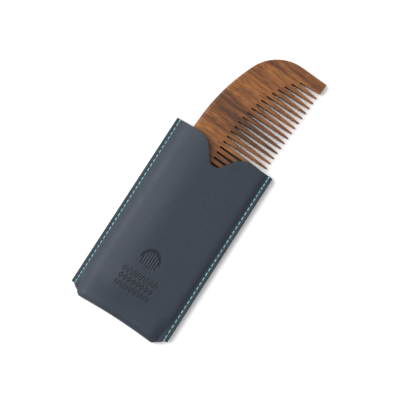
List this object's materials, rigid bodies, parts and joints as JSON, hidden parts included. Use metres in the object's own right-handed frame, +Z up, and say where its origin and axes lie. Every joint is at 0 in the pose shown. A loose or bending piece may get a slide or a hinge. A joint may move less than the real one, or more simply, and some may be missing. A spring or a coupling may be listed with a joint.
{
  "type": "beard comb in sleeve",
  "caption": "Half-moon wooden beard comb that slides in a folded leather sleeve with stitched side seams and a thumb notch at its mouth.",
  "frame": {"origin": "middle of the sleeve's back rest face, on the surface it lies on", "axes": "+Z up from the rest face, +Y along the sleeve towards its mouth, +X towards the comb's teeth"},
  "size_m": [0.0566, 0.1565, 0.0081],
  "materials": {
    "comb_wood": "oiled, satin, grain along the teeth",
    "leather": "smooth slate blue-grey, matte, burnished dark edges",
    "thread": "turquoise polyester thread",
    "cement": "dried contact cement"
  },
  "bodies": {
    "sleeve": {"sleeve_leather": "leather", "left_needle_thread": "thread", "right_needle_thread": "thread", "left_bobbin_thread": "thread", "right_bobbin_thread": "thread", "left_seam_cement": "cement", "right_seam_cement": "cement"},
    "comb": {"comb": "comb_wood"}
  },
  "joints": [
    {"name": "comb_slide", "type": "slide", "parent": "sleeve", "child": "comb", "axis": [0.0466, 0.9989, 0], "range_m": [-0.051, 0.045]}
  ]
}
